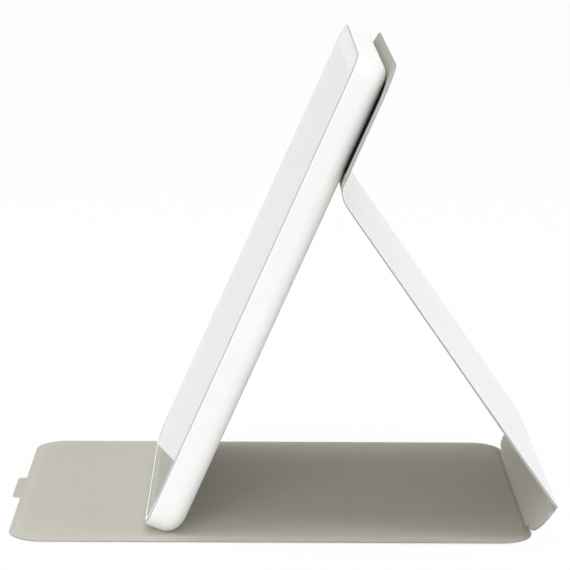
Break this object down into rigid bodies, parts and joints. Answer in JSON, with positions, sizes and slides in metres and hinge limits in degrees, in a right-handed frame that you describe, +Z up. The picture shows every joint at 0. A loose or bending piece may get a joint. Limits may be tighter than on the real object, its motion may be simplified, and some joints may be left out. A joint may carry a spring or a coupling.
{
  "type": "folding lighted mirror",
  "caption": "Slim rectangular lighted mirror in a white tray, bonded to a folio cover that folds into a tented stand, with a light band, an edge button and a charging socket.",
  "frame": {"origin": "middle of the box of the standing part, on the plane it stands on", "axes": "+Z up, -Y the way the mirror faces, +X to the right of a person who looks into it"},
  "size_m": [0.17, 0.2556, 0.2225],
  "materials": {
    "cover_skin": "smooth white coated sheet",
    "cover_lining": "fine beige-grey brushed microfibre",
    "cover_board": "grey board",
    "keeper_steel": "plain strip",
    "tray_plastic": "satin white moulding",
    "button_plastic": "satin white moulding",
    "sheet_glass": "polished float glass",
    "silvering": "silvered",
    "bond_tape": "foam tape",
    "opal_acrylic": "opal, frosted",
    "chassis_plastic": "white moulding",
    "circuit_board": "white solder resist",
    "led_package": "phosphor",
    "screw_steel": "zinc plated",
    "battery_foil": "pouch foil",
    "lead_sleeve": "silicone sleeve",
    "socket_steel": "nickel plated",
    "switch_plastic": "black moulding",
    "clear_plastic": "clear acrylic",
    "pin_brass": "tinned",
    "magnet_nickel": "nickel plated"
  },
  "bodies": {
    "base": {"base_skin": "cover_skin", "base_board": "cover_board", "base_lining": "cover_lining", "base_keeper_strip": "keeper_steel", "rear_fold_skin": "cover_skin", "rear_fold_lining": "cover_lining"},
    "spine": {"spine_skin": "cover_skin", "spine_board": "cover_board", "spine_lining": "cover_lining", "lower_fold_skin": "cover_skin", "lower_fold_lining": "cover_lining"},
    "support": {"support_skin": "cover_skin", "support_board": "cover_board", "support_lining": "cover_lining"},
    "mirror": {"back_shell": "tray_plastic", "mirror_glass": "sheet_glass", "silver_layer": "silvering", "glass_bond_rings": "bond_tape", "light_diffuser": "opal_acrylic", "light_chassis": "chassis_plastic", "led_board": "circuit_board", "leds": "led_package", "chassis_screws": "screw_steel", "battery": "battery_foil", "battery_tape": "bond_tape", "battery_leads": "lead_sleeve", "control_board": "circuit_board", "charging_socket": "socket_steel", "tact_switch": "switch_plastic", "indicator_light_pipe": "clear_plastic", "board_link_pins": "pin_brass", "board_screws": "screw_steel", "foot_magnets": "magnet_nickel", "back_bond": "bond_tape", "back_panel_skin": "cover_skin", "back_panel_board": "cover_board", "back_panel_lining": "cover_lining", "upper_fold_skin": "cover_skin", "upper_fold_lining": "cover_lining"},
    "button": {"power_button": "button_plastic", "switch_plunger": "switch_plastic"}
  },
  "joints": [
    {"name": "stand_fold", "type": "hinge", "parent": "spine", "child": "support", "pos_m": [0, 0.1276, 0.01718], "axis": [-1, 0, 0], "range_deg": [0, 68.67], "deforming": ["lower_fold_skin", "lower_fold_lining"]},
    {"name": "rear_fold", "type": "hinge", "parent": "base", "child": "spine", "pos_m": [0, 0.11656, 0.0005], "axis": [-1, 0, 0], "range_deg": [0, 56.5], "deforming": ["rear_fold_skin", "rear_fold_lining"]},
    {"name": "upper_fold", "type": "hinge", "parent": "support", "child": "mirror", "pos_m": [0, 0.02629, 0.16097], "axis": [1, 0, 0], "range_deg": [0, 58.87], "deforming": ["upper_fold_skin", "upper_fold_lining"]},
    {"name": "button_press", "type": "slide", "parent": "mirror", "child": "button", "axis": [1, 0, 0], "range_m": [0, 0.0004], "stiffness_N_per_m": 1500}
  ],
  "couplings": [
    {"joint": "rear_fold", "follows": "stand_fold", "ratio": 0.82281},
    {"joint": "upper_fold", "follows": "stand_fold", "ratio": 0.85728}
  ]
}
